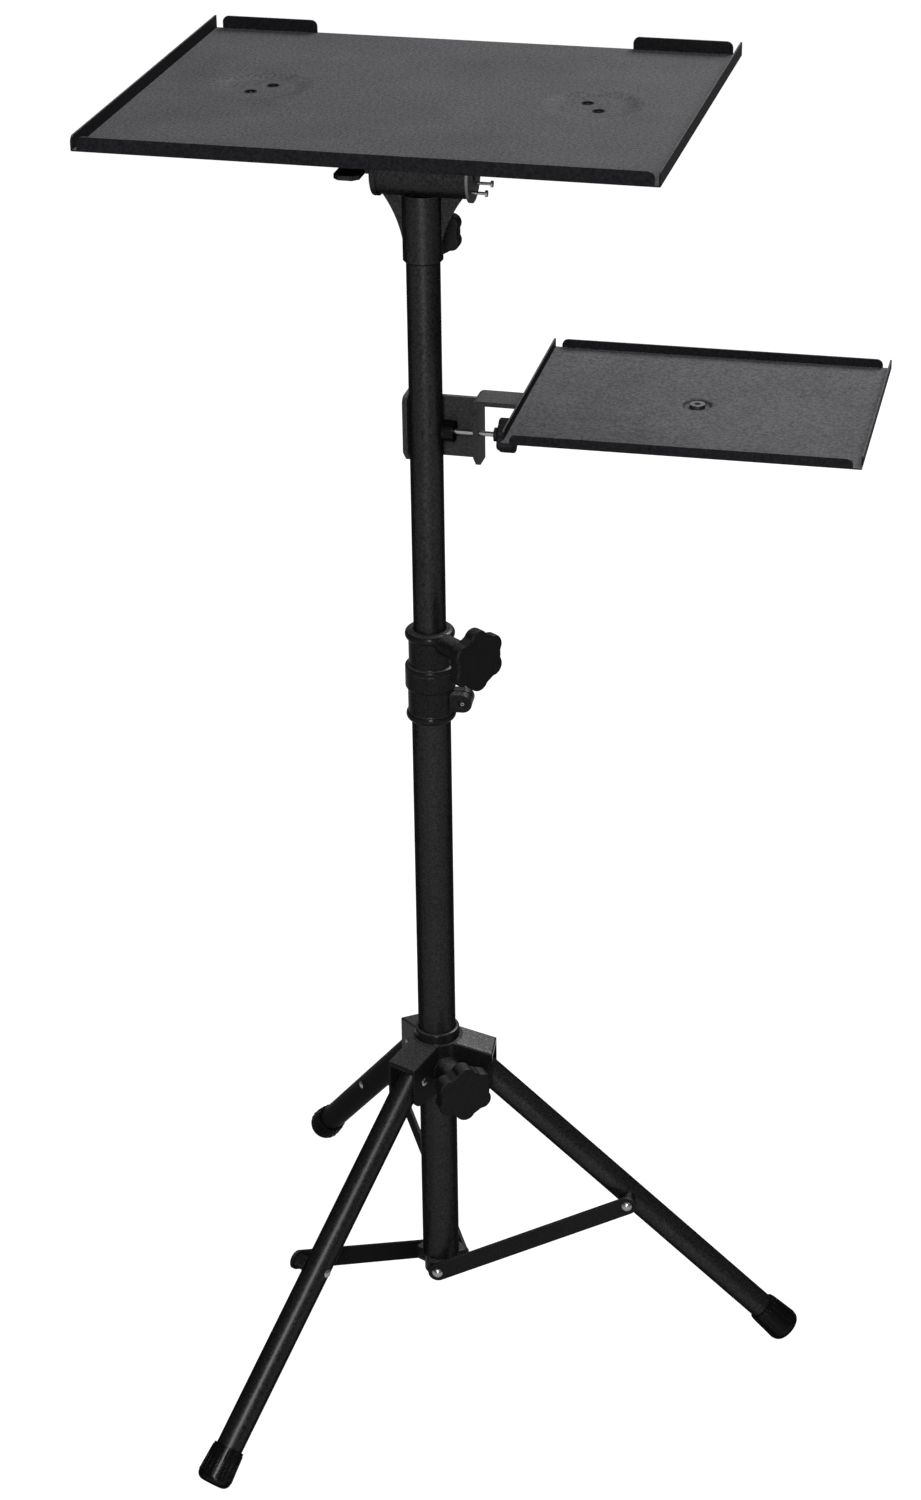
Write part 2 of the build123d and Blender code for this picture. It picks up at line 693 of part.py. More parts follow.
def make_strap():
    """Right flange, narrowed and bent over into the arm that carries the side tray."""
    half = arm_width / 2
    shoulder = arm_top - arm_shoulder - arm_bend
    flange = bracket_flange((
        (-half, arm_top), (-half, shoulder + arm_shoulder), (bracket_right_front, shoulder),
        (bracket_right_front, bracket_bottom + bracket_chamfer),
        (bracket_right_front + bracket_chamfer, bracket_bottom),
        (bracket_back, bracket_bottom), (bracket_back, shoulder),
        (half, shoulder + arm_shoulder), (half, arm_top),
    ))
    reach = side_tray_reach + arm_end_round - bracket_right_face
    arm = Box(reach, arm_width, bracket_sheet, align=(Align.MIN, Align.CENTER, Align.MAX))
    arm = fillet(arm.edges().filter_by(Axis.Z).group_by(Axis.X)[-1], arm_end_round)
    strap = Pos(bracket_right_face, 0, 0) * (flange + Pos(0, 0, arm_top) * arm)
    across_strap = strap.edges().filter_by(Axis.Y)
    outer = across_strap.sort_by_distance((bracket_right_face, 0, arm_top))[:1]
    strap = fillet(outer, arm_bend)
    inner_place = (bracket_right_face + bracket_sheet, 0, arm_top - bracket_sheet)
    inner = strap.edges().filter_by(Axis.Y).sort_by_distance(inner_place)[:1]
    return fillet(inner, arm_bend - bracket_sheet)


def make_bracket():
    """Clamp bracket: a channel around the mast with an arm bent out from one flange."""
    left_top = clamp_height + bracket_left_rise
    left = bracket_flange((
        (bracket_left_front, left_top), (bracket_left_front, bracket_bottom + bracket_chamfer),
        (bracket_left_front + bracket_chamfer, bracket_bottom),
        (bracket_back, bracket_bottom), (bracket_back, left_top),
    ))
    left_corner = left.edges().filter_by(Axis.X).group_by(Axis.Y)[0].sort_by(Axis.Z)[-1]
    left = Pos(bracket_left_face - bracket_sheet, 0, 0) * fillet(left_corner, bracket_corner)
    plate = Box(
        bracket_inner_width + 2 * bracket_sheet,
        bracket_sheet,
        bracket_drop + bracket_plate_rise,
        align=(Align.MIN, Align.MAX, Align.MIN),
    )
    plate = Pos(bracket_left_face - bracket_sheet, bracket_back, bracket_bottom) * plate
    bracket = left + plate + make_strap()
    folds = bracket.edges().filter_by(Axis.Z).group_by(Axis.Y)[-1]
    folds = folds.sort_by(Axis.X)[:1] + folds.sort_by(Axis.X)[-1:]
    bracket = fillet(folds, bracket_bend)
    screw_hole = post(
        clamp_screw_radius + pin_gap, bracket_right_face, bracket_right_face + bracket_sheet
    )
    bracket -= along_clamp(screw_hole)
    bolt_hole = post(side_bolt_radius + pin_gap, arm_top - bracket_sheet, arm_top)
    return bracket - Pos(side_tray_reach, 0, 0) * bolt_hole


def along_clamp(shape):
    return Pos(0, 0, clamp_height) * Rot(0, 90, 0) * shape


def make_clamp_pad():
    """Round pad on the tip of the clamp screw."""
    pad = post(clamp_pad_radius, clamp_pad_end - clamp_pad_length, clamp_pad_end)
    pad -= post(clamp_screw_radius + pin_gap, clamp_pad_end - clamp_pad_seat, clamp_pad_end)
    return along_clamp(pad)


def make_clamp_screw():
    """Clamp screw from its seat in the pad to its knob."""
    seat = clamp_pad_end - clamp_pad_seat
    return along_clamp(post(clamp_screw_radius, seat + pin_gap, clamp_knob_start))


def make_clamp_knob():
    """Lobed knob on the outer end of the clamp screw."""
    knob = lobed_knob(
        screw_knob_radius, screw_knob_thickness, screw_knob_neck_radius, screw_knob_neck
    )
    return along_clamp(Pos(0, 0, clamp_knob_start) * knob)


collar_knob = lobed_knob(
    collar_knob_radius, collar_knob_thickness, large_knob_neck_radius, large_knob_neck
)
hub_knob = lobed_knob(
    hub_knob_radius, hub_knob_thickness, large_knob_neck_radius, large_knob_neck
)
head_knob = lobed_knob(
    head_knob_radius, head_knob_thickness, head_knob_neck_radius, head_knob_neck
)
leg_frame = Pos(hub_pivot_radius, 0, hub_pivot_height) * Rot(0, -leg_pitch, 0)
brace_frame = Pos(0, 0, brace_pivot_height) * Rot(0, -brace_slope, 0)

pieces = {
    "lower_tube": pipe(lower_tube_od, mast_wall, lower_tube_bottom, lower_tube_top),
    "mast_foot": make_mast_foot(),
    "foot_rivets": make_foot_rivets(),
    "clamp_collar": make_collar(),
    "collar_pinch_screw": make_pinch_screw(),
    "collar_knob": studded_knob(
        collar_knob, collar_azimuth, collar_boss_height, collar_boss_reach, upper_tube_radius
    ),
    "leg_hub": make_hub(),
    "hub_rivets": make_hub_rivets(),
    "hub_knob": studded_knob(
        hub_knob, hub_knob_azimuth, hub_boss_height, hub_boss_reach, lower_tube_radius
    ),
    "upper_tube": pipe(upper_tube_od, mast_wall, upper_tube_bottom, upper_tube_top),
    "head_saddle": make_saddle(),
    "tilt_end_plate": make_end_plate(),
    "tilt_pins": make_tilt_pins(),
    "head_knob": studded_knob(
        head_knob, head_knob_azimuth, head_boss_height, head_boss_reach, upper_tube_radius
    ),
    "tilt_yoke": make_yoke(),
    "main_tray": make_main_tray(),
    "side_bracket": make_bracket(),
    "clamp_pad": make_clamp_pad(),
    "clamp_screw": make_clamp_screw(),
    "clamp_knob": make_clamp_knob(),
    "side_tray": make_side_tray(),
    "side_tray_bolt": make_side_bolt(),
    "side_tray_spacer": make_spacer(),
}
for name, azimuth in zip(leg_names, leg_azimuths):
    on_leg = Rot(0, 0, azimuth) * leg_frame
    on_brace = Rot(0, 0, azimuth) * brace_frame
    pieces[f"leg_tube_{name}"] = on_leg * make_leg_tube()
    pieces[f"foot_cap_{name}"] = on_leg * make_foot_cap()
    pieces[f"leg_bush_{name}"] = on_leg * make_leg_bush()
    pieces[f"brace_bar_{name}"] = on_brace * make_brace_bar()
    pieces[f"brace_rivet_{name}"] = on_brace * make_brace_rivet()

os.makedirs("parts", exist_ok=True)
for name, piece in pieces.items():
    export_step(piece, f"parts/{name}.step")
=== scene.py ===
import bpy, bmesh, json, math
from mathutils import Matrix, Vector


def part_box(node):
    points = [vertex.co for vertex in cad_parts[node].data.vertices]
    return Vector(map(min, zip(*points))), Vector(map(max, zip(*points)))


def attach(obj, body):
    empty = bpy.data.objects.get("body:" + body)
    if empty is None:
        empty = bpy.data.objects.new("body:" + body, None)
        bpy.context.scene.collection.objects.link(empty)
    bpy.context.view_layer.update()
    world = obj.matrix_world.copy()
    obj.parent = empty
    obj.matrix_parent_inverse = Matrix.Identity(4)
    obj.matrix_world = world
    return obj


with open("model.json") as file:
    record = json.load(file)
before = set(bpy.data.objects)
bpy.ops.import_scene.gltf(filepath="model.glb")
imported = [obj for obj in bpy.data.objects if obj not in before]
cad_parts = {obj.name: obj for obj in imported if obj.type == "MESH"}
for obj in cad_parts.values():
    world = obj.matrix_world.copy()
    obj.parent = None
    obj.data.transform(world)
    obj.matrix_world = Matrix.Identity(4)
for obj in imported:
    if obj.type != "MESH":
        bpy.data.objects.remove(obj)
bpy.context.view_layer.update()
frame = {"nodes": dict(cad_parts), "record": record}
nodes = frame["nodes"]
scene = bpy.context.scene
legNames = ("right", "back", "left")
print("stage 1: frame loaded, nodes", len(nodes))

# a mix node's colour sockets, by number because their names repeat
mixFactor, mixFirst, mixSecond, mixResult = 0, 6, 7, 2


def grey(value):
    return (value, value, value, 1.0)


def newGroup(name, inputs, outputs):
    group = bpy.data.node_groups.new(name, "ShaderNodeTree")
    for label, kind, value in inputs:
        socket = group.interface.new_socket(label, in_out="INPUT", socket_type=kind)
        socket.default_value = value
    for label, kind in outputs:
        group.interface.new_socket(label, in_out="OUTPUT", socket_type=kind)
    return group, group.nodes.new("NodeGroupInput"), group.nodes.new("NodeGroupOutput")


def addNode(tree, kind, **settings):
    node = tree.nodes.new(kind)
    for key, value in settings.items():
        setattr(node, key, value)
    return node


def mathNode(tree, operation, first, second, third=None):
    node = addNode(tree, "ShaderNodeMath", operation=operation)
    for index, value in enumerate((first, second, third)):
        if value is None:
            continue
        if isinstance(value, float):
            node.inputs[index].default_value = value
        else:
            tree.links.new(value, node.inputs[index])
    return node.outputs[0]


def noiseNode(tree, vector, scale, detail, roughness):
    node = addNode(tree, "ShaderNodeTexNoise")
    node.inputs["Detail"].default_value = detail
    node.inputs["Roughness"].default_value = roughness
    if isinstance(scale, float):
        node.inputs["Scale"].default_value = scale
    else:
        tree.links.new(scale, node.inputs["Scale"])
    tree.links.new(vector, node.inputs["Vector"])
    return node.outputs["Fac"]


def rampNode(tree, value, low, high):
    node = addNode(tree, "ShaderNodeMapRange", interpolation_type="SMOOTHSTEP")
    node.inputs["From Min"].default_value = low
    node.inputs["From Max"].default_value = high
    tree.links.new(value, node.inputs["Value"])
    return node.outputs["Result"]


# coat grain: bumpy normal and a small brightness change, both in the piece's own coordinates
grainSet = {"detail": 4.0, "roughness": 0.6, "contrast": 2.4, "offset": -0.2,
            "broadScale": 14.0, "broadDetail": 3.0, "broadRoughness": 0.55,
            "broadContrast": 0.36, "broadOffset": 0.82, "bump": 0.0004, "samples": 4}
grain, grainIn, grainOut = newGroup(
    "coatGrain",
    [("Scale", "NodeSocketFloat", 900.0), ("Depth", "NodeSocketFloat", 0.2),
     ("Rounding", "NodeSocketFloat", 0.0008)],
    [("Normal", "NodeSocketVector"), ("Shade", "NodeSocketFloat")])
grainCoord = addNode(grain, "ShaderNodeTexCoord").outputs["Object"]
grainFine = noiseNode(grain, grainCoord, grainIn.outputs["Scale"],
                      grainSet["detail"], grainSet["roughness"])
grainBroad = noiseNode(grain, grainCoord, grainSet["broadScale"],
                       grainSet["broadDetail"], grainSet["broadRoughness"])
grainSoft = addNode(grain, "ShaderNodeBevel", samples=grainSet["samples"])
grain.links.new(grainIn.outputs["Rounding"], grainSoft.inputs["Radius"])
grainBump = addNode(grain, "ShaderNodeBump")
grainBump.inputs["Distance"].default_value = grainSet["bump"]
grain.links.new(grainIn.outputs["Depth"], grainBump.inputs["Strength"])
grain.links.new(grainFine, grainBump.inputs["Height"])
grain.links.new(grainSoft.outputs["Normal"], grainBump.inputs["Normal"])
fineShade = mathNode(grain, "MULTIPLY_ADD", grainFine, grainSet["contrast"], grainSet["offset"])
broadShade = mathNode(grain, "MULTIPLY_ADD", grainBroad,
                      grainSet["broadContrast"], grainSet["broadOffset"])
grain.links.new(grainBump.outputs["Normal"], grainOut.inputs["Normal"])
grain.links.new(mathNode(grain, "MULTIPLY", fineShade, broadShade), grainOut.inputs["Shade"])

# edge wear: where the rounded normal leaves the flat one, broken up by noise
wearSet = {"samples": 6, "edgeLow": 0.02, "edgeHigh": 0.25,
           "detail": 4.0, "roughness": 0.6, "noiseLow": 0.3, "noiseHigh": 0.75}
wear, wearIn, wearOut = newGroup(
    "edgeWear",
    [("Radius", "NodeSocketFloat", 0.0012), ("Break", "NodeSocketFloat", 60.0)],
    [("Mask", "NodeSocketFloat")])
wearCoord = addNode(wear, "ShaderNodeTexCoord").outputs["Object"]
wearBevel = addNode(wear, "ShaderNodeBevel", samples=wearSet["samples"])
wear.links.new(wearIn.outputs["Radius"], wearBevel.inputs["Radius"])
wearGeometry = addNode(wear, "ShaderNodeNewGeometry")
wearDot = addNode(wear, "ShaderNodeVectorMath", operation="DOT_PRODUCT")
wear.links.new(wearBevel.outputs["Normal"], wearDot.inputs[0])
wear.links.new(wearGeometry.outputs["Normal"], wearDot.inputs[1])
wearEdge = rampNode(wear, mathNode(wear, "SUBTRACT", 1.0, wearDot.outputs["Value"]),
                    wearSet["edgeLow"], wearSet["edgeHigh"])
wearNoise = noiseNode(wear, wearCoord, wearIn.outputs["Break"],
                      wearSet["detail"], wearSet["roughness"])
wearNoise = rampNode(wear, wearNoise, wearSet["noiseLow"], wearSet["noiseHigh"])
wear.links.new(mathNode(wear, "MULTIPLY", wearEdge, wearNoise), wearOut.inputs["Mask"])

# painted sheen: upward faces made lighter, in patches, standing in for light from above
sheenSet = {"slopeLow": 0.6, "slopeHigh": 1.0, "detail": 4.0, "roughness": 0.6,
           "contrast": 0.6, "offset": 0.7}
upSheen, sheenIn, sheenOut = newGroup(
    "paintedUpSheen",
    [("Patch", "NodeSocketFloat", 9.0)],
    [("Mask", "NodeSocketFloat")])
sheenCoord = addNode(upSheen, "ShaderNodeTexCoord").outputs["Object"]
sheenGeometry = addNode(upSheen, "ShaderNodeNewGeometry")
sheenAxis = addNode(upSheen, "ShaderNodeSeparateXYZ")
upSheen.links.new(sheenGeometry.outputs["Normal"], sheenAxis.inputs["Vector"])
sheenUp = rampNode(upSheen, sheenAxis.outputs["Z"], sheenSet["slopeLow"], sheenSet["slopeHigh"])
sheenPatch = noiseNode(upSheen, sheenCoord, sheenIn.outputs["Patch"],
                      sheenSet["detail"], sheenSet["roughness"])
sheenPatch = mathNode(upSheen, "MULTIPLY_ADD", sheenPatch, sheenSet["contrast"], sheenSet["offset"])
upSheen.links.new(mathNode(upSheen, "MULTIPLY", sheenUp, sheenPatch), sheenOut.inputs["Mask"])

# brushing: fine lines across the x axis of a metal piece
brushSet = {"stretch": (1.0, 0.06, 0.06), "detail": 3.0, "roughness": 0.6, "samples": 4,
            "rounding": 0.0005, "bump": 0.0002, "contrast": 0.3, "offset": 0.85}
brush, brushIn, brushOut = newGroup(
    "turnedLines",
    [("Scale", "NodeSocketFloat", 700.0), ("Depth", "NodeSocketFloat", 0.12)],
    [("Normal", "NodeSocketVector"), ("Shade", "NodeSocketFloat")])
brushCoord = addNode(brush, "ShaderNodeTexCoord").outputs["Object"]
brushStretch = addNode(brush, "ShaderNodeMapping")
brushStretch.inputs["Scale"].default_value = brushSet["stretch"]
brush.links.new(brushCoord, brushStretch.inputs["Vector"])
brushLines = noiseNode(brush, brushStretch.outputs["Vector"], brushIn.outputs["Scale"],
                       brushSet["detail"], brushSet["roughness"])
brushSoft = addNode(brush, "ShaderNodeBevel", samples=brushSet["samples"])
brushSoft.inputs["Radius"].default_value = brushSet["rounding"]
brushBump = addNode(brush, "ShaderNodeBump")
brushBump.inputs["Distance"].default_value = brushSet["bump"]
brush.links.new(brushIn.outputs["Depth"], brushBump.inputs["Strength"])
brush.links.new(brushLines, brushBump.inputs["Height"])
brush.links.new(brushSoft.outputs["Normal"], brushBump.inputs["Normal"])
brushShade = mathNode(brush, "MULTIPLY_ADD", brushLines, brushSet["contrast"], brushSet["offset"])
brush.links.new(brushBump.outputs["Normal"], brushOut.inputs["Normal"])
brush.links.new(brushShade, brushOut.inputs["Shade"])


def newMaterial(name):
    material = bpy.data.materials.new(name)
    material.use_nodes = True
    return material, material.node_tree


# colour, roughness and normal into the shader; the shade varies the first two
def connect(tree, colour, group, look, metal, spread):
    shader = tree.nodes["Principled BSDF"]
    tinted = addNode(tree, "ShaderNodeMix", data_type="RGBA", blend_type="MULTIPLY")
    tinted.inputs[mixFactor].default_value = 1.0
    if isinstance(colour, tuple):
        tinted.inputs[mixFirst].default_value = (*colour, 1.0)
    else:
        tree.links.new(colour, tinted.inputs[mixFirst])
    tree.links.new(group.outputs["Shade"], tinted.inputs[mixSecond])
    tree.links.new(tinted.outputs[mixResult], shader.inputs["Base Color"])
    rough = mathNode(tree, "MULTIPLY_ADD", group.outputs["Shade"],
                     spread, look["roughness"] - spread)
    tree.links.new(rough, shader.inputs["Roughness"])
    shader.inputs["Metallic"].default_value = metal
    shader.inputs["Specular Tint"].default_value = grey(look["rim"])
    tree.links.new(group.outputs["Normal"], shader.inputs["Normal"])
    return shader


coatSpread, steelSpread = 0.16, 0.2


def coatMaterial(name, look):
    material, tree = newMaterial(name)
    grainNode = addNode(tree, "ShaderNodeGroup", node_tree=grain)
    for label in ("Scale", "Depth", "Rounding"):
        grainNode.inputs[label].default_value = look[label.lower()]
    wearNode = addNode(tree, "ShaderNodeGroup", node_tree=wear)
    wearNode.inputs["Radius"].default_value = look["wearRadius"]
    # painted sheen: upward faces mixed towards the lighter second colour, for light from above
    sheenNode = addNode(tree, "ShaderNodeGroup", node_tree=upSheen)
    sheened = addNode(tree, "ShaderNodeMix", data_type="RGBA")
    sheened.inputs[mixFirst].default_value = (*look["base"], 1.0)
    sheened.inputs[mixSecond].default_value = (*look["upSheen"], 1.0)
    tree.links.new(sheenNode.outputs["Mask"], sheened.inputs[mixFactor])
    worn = addNode(tree, "ShaderNodeMix", data_type="RGBA")
    worn.inputs[mixSecond].default_value = (*look["wear"], 1.0)
    wornShare = mathNode(tree, "MULTIPLY", wearNode.outputs["Mask"], look["wearShare"])
    tree.links.new(wornShare, worn.inputs[mixFactor])
    tree.links.new(sheened.outputs[mixResult], worn.inputs[mixFirst])
    shader = connect(tree, worn.outputs[mixResult], grainNode, look, look["metal"], coatSpread)
    shader.inputs["IOR"].default_value = look["ior"]
    return material


def steelMaterial(name, look):
    material, tree = newMaterial(name)
    lines = addNode(tree, "ShaderNodeGroup", node_tree=brush)
    lines.inputs["Scale"].default_value = look["scale"]
    lines.inputs["Depth"].default_value = look["depth"]
    connect(tree, look["base"], lines, look, 1.0, steelSpread)
    return material


# the second colour of each coat is painted sheen for its upward faces; on the frame and the
# rubber it equals the base
trayLook = {"base": (0.0062, 0.0062, 0.007), "upSheen": (0.064, 0.064, 0.068),
            "wear": (0.05, 0.05, 0.0525), "wearShare": 0.03, "wearRadius": 0.0014,
            "metal": 0.0, "rim": 1.0, "roughness": 0.6, "ior": 1.05,
            "scale": 430.0, "depth": 0.14, "rounding": 0.0007}
bracketLook = {"base": (0.017, 0.017, 0.0176), "upSheen": (0.055, 0.055, 0.057),
               "wear": (0.06, 0.06, 0.06), "wearShare": 0.3, "wearRadius": 0.0012,
               "metal": 0.0, "rim": 1.0, "roughness": 0.55, "ior": 1.06,
               "scale": 500.0, "depth": 0.2, "rounding": 0.0007}
frameLook = {"base": (0.0165, 0.0165, 0.017), "upSheen": (0.0165, 0.0165, 0.017),
             "wear": (0.05, 0.05, 0.05), "wearShare": 0.3, "wearRadius": 0.0010,
             "metal": 0.82, "rim": 0.02, "roughness": 0.38, "ior": 1.05,
             "scale": 520.0, "depth": 0.16, "rounding": 0.0006}
mouldLook = {"base": (0.009, 0.009, 0.0092), "upSheen": (0.052, 0.052, 0.053),
             "wear": (0.045, 0.045, 0.045), "wearShare": 0.3, "wearRadius": 0.0016,
             "metal": 0.5, "rim": 0.06, "roughness": 0.24, "ior": 1.1,
             "scale": 600.0, "depth": 0.22, "rounding": 0.0012}
knobLook = {"base": (0.0095, 0.0095, 0.0098), "upSheen": (0.03, 0.03, 0.0306),
            "wear": (0.05, 0.05, 0.05), "wearShare": 0.4, "wearRadius": 0.0018,
            "metal": 0.6, "rim": 0.03, "roughness": 0.52, "ior": 1.05,
            "scale": 1000.0, "depth": 0.28, "rounding": 0.0010}
rubberLook = {"base": (0.008, 0.008, 0.0082), "upSheen": (0.008, 0.008, 0.0082),
              "wear": (0.03, 0.03, 0.03), "wearShare": 0.2, "wearRadius": 0.0012,
              "metal": 0.8, "rim": 0.03, "roughness": 0.25, "ior": 1.05,
              "scale": 800.0, "depth": 0.15, "rounding": 0.0010}
steelLook = {"base": (0.22, 0.22, 0.218), "rim": 0.15, "roughness": 0.3,
             "scale": 700.0, "depth": 0.12}
# darker steel: on the end plate it is painted shade; on the bolt and the inserts it is their own
# tone
darkSteelLook = {"base": (0.09, 0.09, 0.09), "rim": 0.25, "roughness": 0.42,
                 "scale": 900.0, "depth": 0.1}
materials = {
    "tray_coat": coatMaterial("trayCoat", trayLook),
    "bracket_coat": coatMaterial("bracketCoat", bracketLook),
    "frame_coat": coatMaterial("frameCoat", frameLook),
    "moulded_black": coatMaterial("mouldedBlack", mouldLook),
    "knob_black": coatMaterial("knobBlack", knobLook),
    "foot_rubber": coatMaterial("footRubber", rubberLook),
    "bright_steel": steelMaterial("brightSteel", steelLook),
    "dark_steel": steelMaterial("darkSteel", darkSteelLook),
}
print("stage 2: materials made", len(materials))

# pieces that differ in looks from the rest of their slot; the end plate's darker steel is painted
# shade, for the shadow it sits in
ownCoat = {"side_bracket": "bracket_coat", "tilt_end_plate": "dark_steel",
           "side_tray_bolt": "dark_steel", "collar_pinch_screw": "knob_black"}
ownCoat.update({"brace_bar_" + legName: "knob_black" for legName in legNames})
for subpart in frame["record"]["subparts"]:
    mesh = nodes[subpart["node"]].data
    mesh.materials.clear()
    mesh.materials.append(materials[ownCoat.get(subpart["node"], subpart["material_slot"])])

sharpAngle = math.radians(40.0)


# a new piece: placed in its mesh, moving with a CAD body
def finished(name, build, place, body, material):
    bmesh.ops.transform(build, matrix=place, verts=build.verts)
    for face in build.faces:
        face.smooth = True
    mesh = bpy.data.meshes.new(name)
    build.to_mesh(mesh)
    build.free()
    mesh.materials.append(materials[material])
    piece = bpy.data.objects.new(name, mesh)
    scene.collection.objects.link(piece)
    mesh.set_sharp_from_angle(angle=sharpAngle)
    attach(piece, body)


# an outline of radius and height, turned about its own axis
def turned(name, outline, closed, place, body, material, steps):
    build = bmesh.new()
    points = [build.verts.new((radius, 0.0, height)) for radius, height in outline]
    pairs = list(zip(points, points[1:])) + ([(points[-1], points[0])] if closed else [])
    edges = [build.edges.new(pair) for pair in pairs]
    bmesh.ops.spin(build, geom=points + edges, cent=(0.0, 0.0, 0.0), axis=(0.0, 0.0, 1.0),
                   angle=2.0 * math.pi, steps=steps, use_merge=True)
    bmesh.ops.remove_doubles(build, verts=build.verts, dist=1e-6)
    bmesh.ops.recalc_face_normals(build, faces=build.faces)
    finished(name, build, place, body, material)


def ringOutline(inner, outer, low, high):
    return [(inner, low), (inner, high), (outer, high), (outer, low)]


def domeOutline(radius, height, count):
    sphere = (radius * radius + height * height) / (2.0 * height)
    spread = math.asin(min(1.0, radius / sphere))
    angles = [spread * index / count for index in range(count + 1)]
    return [(sphere * math.sin(angle), sphere * math.cos(angle) - sphere) for angle in angles]


def aimed(place, axis):
    return Matrix.Translation(place) @ Vector(axis).to_track_quat("Z", "Y").to_matrix().to_4x4()


# bright caps over the pin heads on the far side of the legs, and ribs down the foot caps
pinCap = {"radius": 0.0042, "height": 0.0020, "proud": 0.00015, "flat": 0.00005,
          "rings": 6, "steps": 24}
ribs = {"count": 20, "legLength": 0.4136, "capLength": 0.036, "endRadius": 0.0166,
        "neckRadius": 0.0145, "first": 0.0075, "last": 0.0335, "width": 0.0016,
        "proud": 0.00045, "sunk": 0.0008, "edge": 0.0003, "edgeSteps": 2}
taper = (ribs["endRadius"] - ribs["neckRadius"]) / ribs["capLength"]
ribMiddle = (ribs["first"] + ribs["last"]) / 2.0
ribDepth = ribs["proud"] + ribs["sunk"]
ribRadius = ribs["endRadius"] - taper * ribMiddle + ribs["proud"] - ribDepth / 2.0
ribSize = Matrix.Diagonal((ribDepth, ribs["width"], ribs["last"] - ribs["first"], 1.0))
ribPlace = (Matrix.Translation((ribRadius, 0.0, ribMiddle))
            @ Matrix.Rotation(-math.atan(taper), 4, "Y") @ ribSize)
for joint in frame["record"]["behaviour"]["joints"]:
    if joint["child"] not in ["leg_" + legName for legName in legNames]:
        continue
    legName = joint["child"].split("_")[1]
    pivot, across = Vector(joint["pos_m"]), Vector(joint["axis"])
    points = [vertex.co for vertex in nodes["leg_bush_" + legName].data.vertices]
    reach = max(point.dot(across) for point in points)
    tips = [point for point in points if reach - point.dot(across) < pinCap["flat"]]
    tip = sum(tips, Vector()) / len(tips)
    turned("pinCap_" + legName, domeOutline(pinCap["radius"], pinCap["height"], pinCap["rings"]),
           False, aimed(tip + across * pinCap["proud"], across),
           joint["child"], "bright_steel", pinCap["steps"])
    upLeg = (pivot - tip + across * (tip - pivot).dot(across)).normalized()
    ribBuild = bmesh.new()
    for index in range(ribs["count"]):
        turn = Matrix.Rotation(2.0 * math.pi * index / ribs["count"], 4, "Z")
        bmesh.ops.create_cube(ribBuild, size=1.0, matrix=turn @ ribPlace)
    bmesh.ops.bevel(ribBuild, geom=ribBuild.edges[:], offset=ribs["edge"],
                    segments=ribs["edgeSteps"], profile=0.5, affect="EDGES", material=-1)
    footEnd = pivot - upLeg * ribs["legLength"]
    finished("footRibs_" + legName, ribBuild, aimed(footEnd, upLeg),
             joint["child"], "foot_rubber")

# threaded inserts under the dish holes, with a pressed rim round each hole
insert = {"turn": 57.5, "sheet": 0.0015, "outer": 0.0056, "length": 0.009, "rim": 0.0051,
          "rimHeight": 0.0004, "steps": 32}
for mount in frame["record"]["mounts"]:
    if mount["kind"] != "bolt_pattern":
        continue
    centre = Vector(mount["pos_m"])
    bore, spacing = mount["dims"]["hole_r_mm"] / 1000.0, mount["dims"]["pcd_mm"] / 1000.0
    turn = math.radians(-math.copysign(insert["turn"], centre.x))
    sleeve = ringOutline(bore, insert["outer"], -insert["length"], -insert["sheet"])
    rim = ringOutline(bore, insert["rim"], 0.0, insert["rimHeight"])
    for end, letter in ((-1.0, "A"), (1.0, "B")):
        offset = Vector((math.cos(turn), math.sin(turn), 0.0)) * (end * spacing / 2.0)
        place = Matrix.Translation(centre + offset)
        name = mount["name"].split("_")[0] + "Insert" + letter
        turned(name, sleeve, True, place, "tray", "dark_steel", insert["steps"])
        turned(name + "Rim", rim, True, place, "tray", "knob_black", insert["steps"])

# socket ring in the head of the pinch screw
pinchRing = {"azimuth": 5.0, "reach": 0.0295, "side": 0.009, "height": 0.6735,
             "inner": 0.0009, "outer": 0.0016, "proud": 0.0003, "steps": 24}
azimuth = math.radians(pinchRing["azimuth"])
outward = Vector((math.cos(azimuth), math.sin(azimuth), 0.0))
facing = Vector((math.sin(azimuth), -math.cos(azimuth), 0.0))
pinchPlace = outward * pinchRing["reach"] + facing * pinchRing["side"]
pinchPlace.z = pinchRing["height"]
pinchOutline = ringOutline(pinchRing["inner"], pinchRing["outer"], 0.0, pinchRing["proud"])
turned("pinchSocket", pinchOutline, True, aimed(pinchPlace, facing),
       "mast", "bright_steel", pinchRing["steps"])

# dark hexagon on the bolt of the side tray: painted shade standing in for its socket recess
socket = {"radius": 0.0028, "proud": 0.00012, "sides": 6}
low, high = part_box("side_tray_bolt")
boltTop = Vector(((low.x + high.x) / 2.0, (low.y + high.y) / 2.0, high.z))
socketShadeBuild = bmesh.new()
bmesh.ops.create_cone(socketShadeBuild, cap_ends=True, segments=socket["sides"],
                      radius1=socket["radius"], radius2=socket["radius"],
                      depth=2.0 * socket["proud"])
finished("boltSocketShade", socketShadeBuild, Matrix.Translation(boltTop),
         "side_tray", "knob_black")
print("stage 3: small pieces added")

